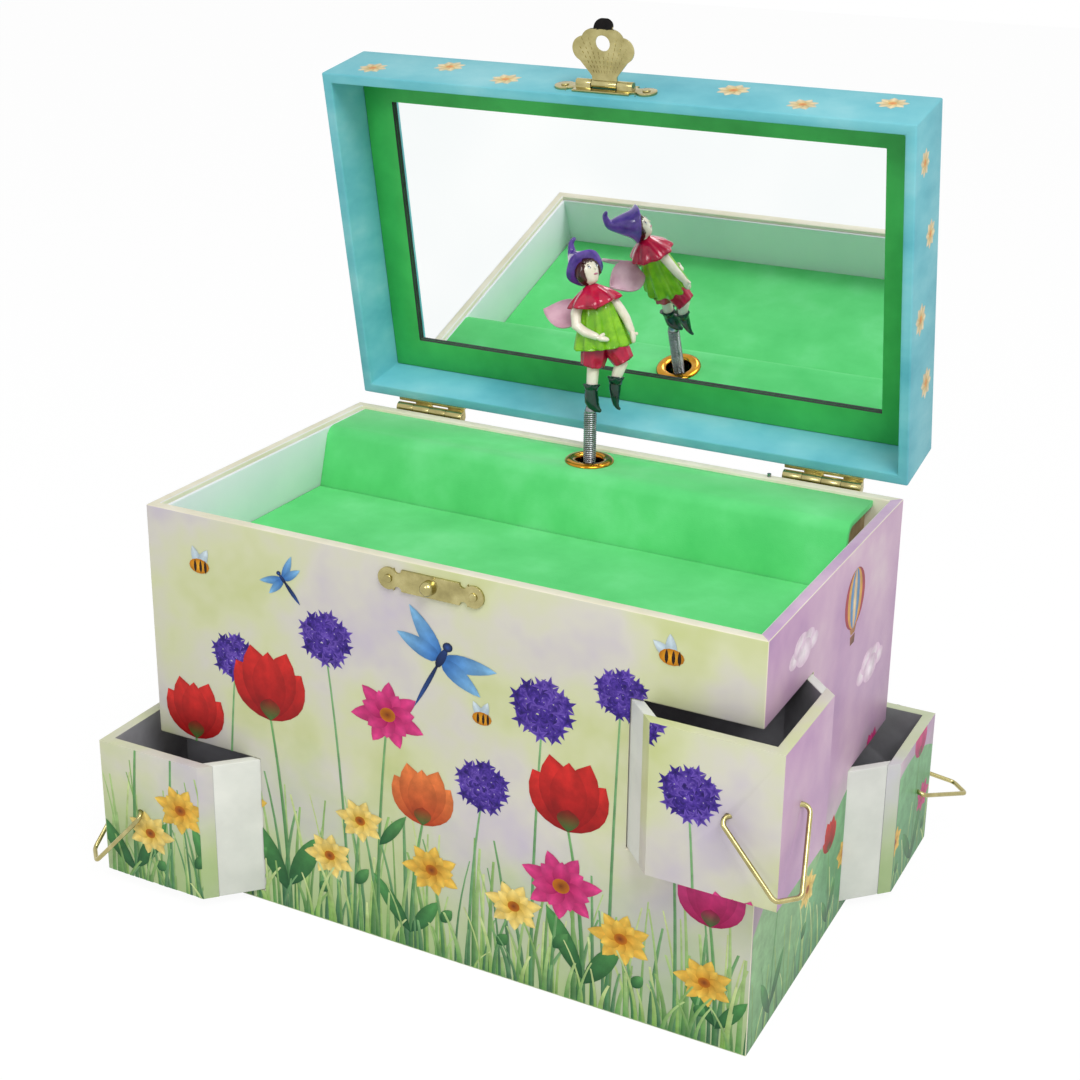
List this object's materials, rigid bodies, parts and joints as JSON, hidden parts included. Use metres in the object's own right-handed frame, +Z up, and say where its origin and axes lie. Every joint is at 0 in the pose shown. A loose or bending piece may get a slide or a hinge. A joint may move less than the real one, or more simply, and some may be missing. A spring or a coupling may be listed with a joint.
{
  "type": "musical jewellery box",
  "caption": "Musical jewellery box with mirrored hinged lid, flocked tray, pixie figure turning on a coil spring, diagonal corner drawers with wire bails, shell hasp and wind-up movement.",
  "frame": {"origin": "middle of the carcass underside", "axes": "+X to the right seen from the front, -Y to the front, +Z up"},
  "size_m": [0.2556, 0.1727, 0.2808],
  "materials": {
    "printed_board": "printed paper over board",
    "turquoise_board": "turquoise paper over board",
    "inner_board": "bare fibreboard",
    "green_flock": "flocked pile",
    "pale_liner": "pale blue paper",
    "green_mat": "green paper",
    "drawer_face": "printed paper over board",
    "drawer_wall": "off-white paper over board",
    "drawer_floor": "grey card",
    "silvered_glass": "polished",
    "backing_card": "plain card",
    "brass": "plated and polished",
    "gold_brass": "rolled and polished",
    "nickel": "plated",
    "steel": "bright drawn",
    "zinc": "die cast and plated",
    "figure_paint": "glossy paint on a casting",
    "wing_pink": "pearly pink",
    "governor_plastic": "moulded"
  },
  "bodies": {
    "carcass": {"bottom_board": "inner_board", "front_board": "printed_board", "back_board": "printed_board", "side_boards": "printed_board", "middle_shelf": "inner_board", "tray_floor": "inner_board", "tray_flock": "green_flock", "tray_liners": "pale_liner", "ledge_cover": "green_flock", "ledge_ribs": "inner_board", "eyelet": "gold_brass", "drawer_guides": "inner_board", "hinge_base_leaves": "brass", "hinge_pins": "brass", "hinge_base_screws": "brass", "strike_plate": "brass", "strike_nails": "brass", "movement_bedplate": "zinc", "movement_screws": "steel", "spindle_bush": "brass", "comb": "steel", "governor_housing": "governor_plastic"},
    "lid": {"lid_panel": "turquoise_board", "lid_front_rail": "turquoise_board", "lid_back_rail": "turquoise_board", "lid_side_rails": "turquoise_board", "mirror_mat": "green_mat", "mirror": "silvered_glass", "mirror_backing": "backing_card", "hinge_lid_leaves": "brass", "hinge_lid_screws": "brass", "hasp_plate": "brass", "hasp_pin": "brass", "hasp_nails": "brass"},
    "hasp": {"hasp_flap": "brass"},
    "mainspring": {"mainspring_barrel": "brass", "winding_arbor": "steel", "winding_key": "nickel"},
    "cylinder": {"pin_cylinder": "brass"},
    "spindle": {"spindle": "steel"},
    "spring": {"figure_spring": "steel"},
    "pixie": {"figure": "figure_paint", "figure_wings": "wing_pink"},
    "stop": {"stop_wire": "steel"},
    "front_left_drawer": {"front_left_drawer_faces": "drawer_face", "front_left_drawer_walls": "drawer_wall", "front_left_drawer_floor": "drawer_floor"},
    "front_left_bail": {"front_left_bail": "brass"},
    "front_right_drawer": {"front_right_drawer_faces": "drawer_face", "front_right_drawer_walls": "drawer_wall", "front_right_drawer_floor": "drawer_floor"},
    "front_right_bail": {"front_right_bail": "brass"},
    "rear_right_drawer": {"rear_right_drawer_faces": "drawer_face", "rear_right_drawer_walls": "drawer_wall", "rear_right_drawer_floor": "drawer_floor"},
    "rear_right_bail": {"rear_right_bail": "brass"},
    "rear_left_drawer": {"rear_left_drawer_faces": "drawer_face", "rear_left_drawer_walls": "drawer_wall", "rear_left_drawer_floor": "drawer_floor"},
    "rear_left_bail": {"rear_left_bail": "brass"}
  },
  "joints": [
    {"name": "lid_hinge", "type": "hinge", "parent": "carcass", "child": "lid", "pos_m": [0, 0.06465, 0.1328], "axis": [1, 0, 0], "range_deg": [0, 79.56]},
    {"name": "hasp_pivot", "type": "hinge", "parent": "lid", "child": "hasp", "pos_m": [0, 0.04908, 0.25978], "axis": [1, 0, 0], "range_deg": [-60, 90]},
    {"name": "front_left_drawer_slide", "type": "slide", "parent": "carcass", "child": "front_left_drawer", "axis": [-0.7071, -0.7071, 0], "range_m": [-0.0198, 0.0142]},
    {"name": "front_left_bail_swing", "type": "hinge", "parent": "front_left_drawer", "child": "front_left_bail", "pos_m": [-0.11125, -0.0675, 0.03], "axis": [-0.7071, 0.7071, 0], "range_deg": [-5, 111]},
    {"name": "front_right_drawer_slide", "type": "slide", "parent": "carcass", "child": "front_right_drawer", "axis": [0.7071, -0.7071, 0], "range_m": [-0.0142, 0.0198]},
    {"name": "front_right_bail_swing", "type": "hinge", "parent": "front_right_drawer", "child": "front_right_bail", "pos_m": [0.10729, -0.06354, 0.0838], "axis": [-0.7071, -0.7071, 0], "range_deg": [-13, 103]},
    {"name": "rear_right_drawer_slide", "type": "slide", "parent": "carcass", "child": "rear_right_drawer", "axis": [0.7071, 0.7071, 0], "range_m": [-0.019, 0.015]},
    {"name": "rear_right_bail_swing", "type": "hinge", "parent": "rear_right_drawer", "child": "rear_right_bail", "pos_m": [0.11069, 0.06693, 0.03], "axis": [0.7071, -0.7071, 0], "range_deg": [-38, 78]},
    {"name": "rear_left_drawer_slide", "type": "slide", "parent": "carcass", "child": "rear_left_drawer", "axis": [-0.7071, 0.7071, 0], "range_m": [0, 0.034]},
    {"name": "rear_left_bail_swing", "type": "hinge", "parent": "rear_left_drawer", "child": "rear_left_bail", "pos_m": [-0.09725, 0.0535, 0.0838], "axis": [0.7071, 0.7071, 0], "range_deg": [-5, 111]},
    {"name": "winding_turn", "type": "hinge", "parent": "carcass", "child": "mainspring", "pos_m": [-0.002, 0.052, 0.095], "axis": [0, 1, 0], "continuous": true},
    {"name": "cylinder_turn", "type": "hinge", "parent": "carcass", "child": "cylinder", "pos_m": [0.03, 0.047, 0.095], "axis": [1, 0, 0], "continuous": true},
    {"name": "spindle_turn", "type": "hinge", "parent": "carcass", "child": "spindle", "pos_m": [-0.002, 0.047, 0.12], "axis": [0, 0, 1], "continuous": true},
    {"name": "figure_tilt", "type": "hinge", "parent": "carcass", "child": "spring", "pos_m": [-0.002, 0.047, 0.14], "axis": [1, 0, 0], "range_deg": [0, 106], "deforming": ["figure_spring"]},
    {"name": "figure_turn", "type": "hinge", "parent": "spring", "child": "pixie", "pos_m": [-0.002, 0.047, 0.15], "axis": [0, 0, 1], "continuous": true},
    {"name": "stop_press", "type": "slide", "parent": "carcass", "child": "stop", "axis": [0, 0, -1], "range_m": [0, 0.0011]}
  ],
  "couplings": [
    {"joint": "cylinder_turn", "follows": "winding_turn", "ratio": -4},
    {"joint": "spindle_turn", "follows": "winding_turn", "ratio": -4},
    {"joint": "figure_turn", "follows": "winding_turn", "ratio": -4},
    {"joint": "figure_tilt", "follows": "lid_hinge", "ratio": 1.3311},
    {"joint": "stop_press", "follows": "lid_hinge", "m_per_rad": 0.000785}
  ]
}
